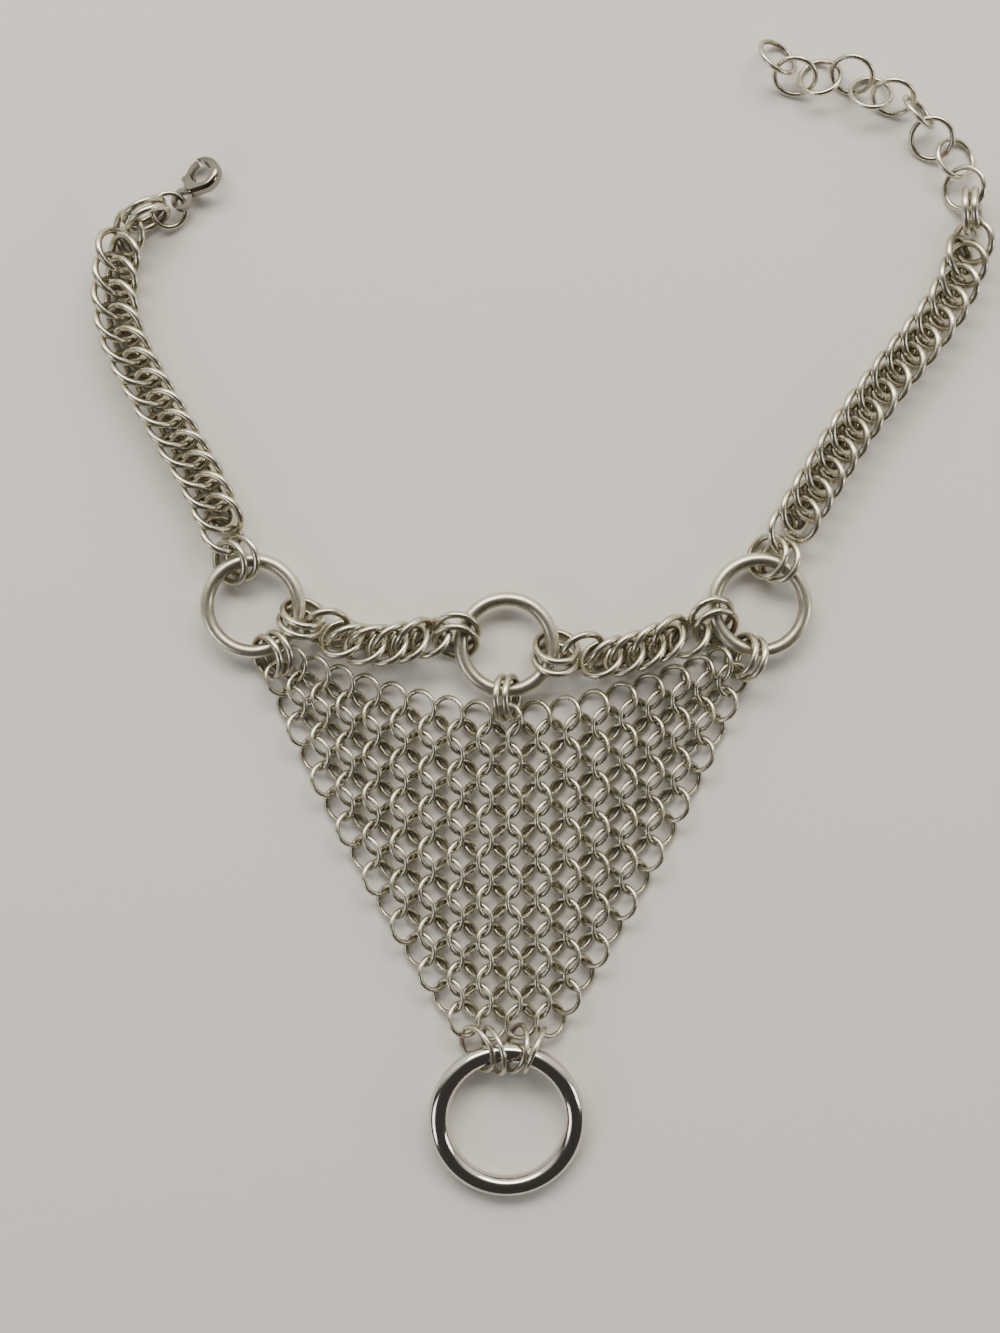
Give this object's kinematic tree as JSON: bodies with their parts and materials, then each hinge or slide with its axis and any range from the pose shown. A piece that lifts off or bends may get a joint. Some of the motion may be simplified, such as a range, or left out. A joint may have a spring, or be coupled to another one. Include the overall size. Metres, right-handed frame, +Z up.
{
  "type": "chainmail necklace",
  "caption": "Chainmail collar necklace lying open: woven ring panel, heavy woven chains, large rings, pendant ring, lobster clasp and adjusting chain.",
  "frame": {"origin": "on the floor under the middle of the laid-out necklace", "axes": "+Z up off the floor, +Y from the pendant ring towards the neck ends, +X to the wearer's left"},
  "size_m": [0.1998, 0.2584, 0.0115],
  "materials": {
    "antiqued_steel": "antiqued, satin, dark recesses",
    "thin_ring_steel": "satin",
    "bright_nickel": "polished"
  },
  "bodies": {
    "necklace": {"adjusting_chain": "thin_ring_steel", "centre_left_link_1": "antiqued_steel", "centre_left_link_2": "antiqued_steel", "centre_panel_link_1": "antiqued_steel", "centre_panel_link_2": "antiqued_steel", "centre_right_link_1": "antiqued_steel", "centre_right_link_2": "antiqued_steel", "clasp_body": "bright_nickel", "front_chain_left": "antiqued_steel", "front_chain_right": "antiqued_steel", "jump_ring": "thin_ring_steel", "left_end_link_1": "antiqued_steel", "left_end_link_2": "antiqued_steel", "left_front_link_1": "antiqued_steel", "left_front_link_2": "antiqued_steel", "left_neck_link_1": "antiqued_steel", "left_neck_link_2": "antiqued_steel", "left_panel_link_1": "antiqued_steel", "left_panel_link_2": "antiqued_steel", "mail_panel": "antiqued_steel", "neck_chain_left": "antiqued_steel", "neck_chain_right": "antiqued_steel", "pendant_link_1": "thin_ring_steel", "pendant_link_2": "thin_ring_steel", "pendant_link_3": "thin_ring_steel", "pendant_link_4": "thin_ring_steel", "pendant_ring": "bright_nickel", "right_end_link_1": "antiqued_steel", "right_end_link_2": "antiqued_steel", "right_front_link_1": "antiqued_steel", "right_front_link_2": "antiqued_steel", "right_neck_link_1": "antiqued_steel", "right_neck_link_2": "antiqued_steel", "right_panel_link_1": "antiqued_steel", "right_panel_link_2": "antiqued_steel", "ring_centre": "antiqued_steel", "ring_left": "antiqued_steel", "ring_right": "antiqued_steel"},
    "clasp_lever": {"clasp_lever": "bright_nickel"}
  },
  "joints": [
    {"name": "lever_hinge", "type": "hinge", "parent": "necklace", "child": "clasp_lever", "pos_m": [-0.07866, 0.09727, 0.00242], "axis": [0.3237, -0.2717, -0.9063], "range_deg": [0, 25], "stiffness_Nm_per_rad": 0.0002}
  ]
}
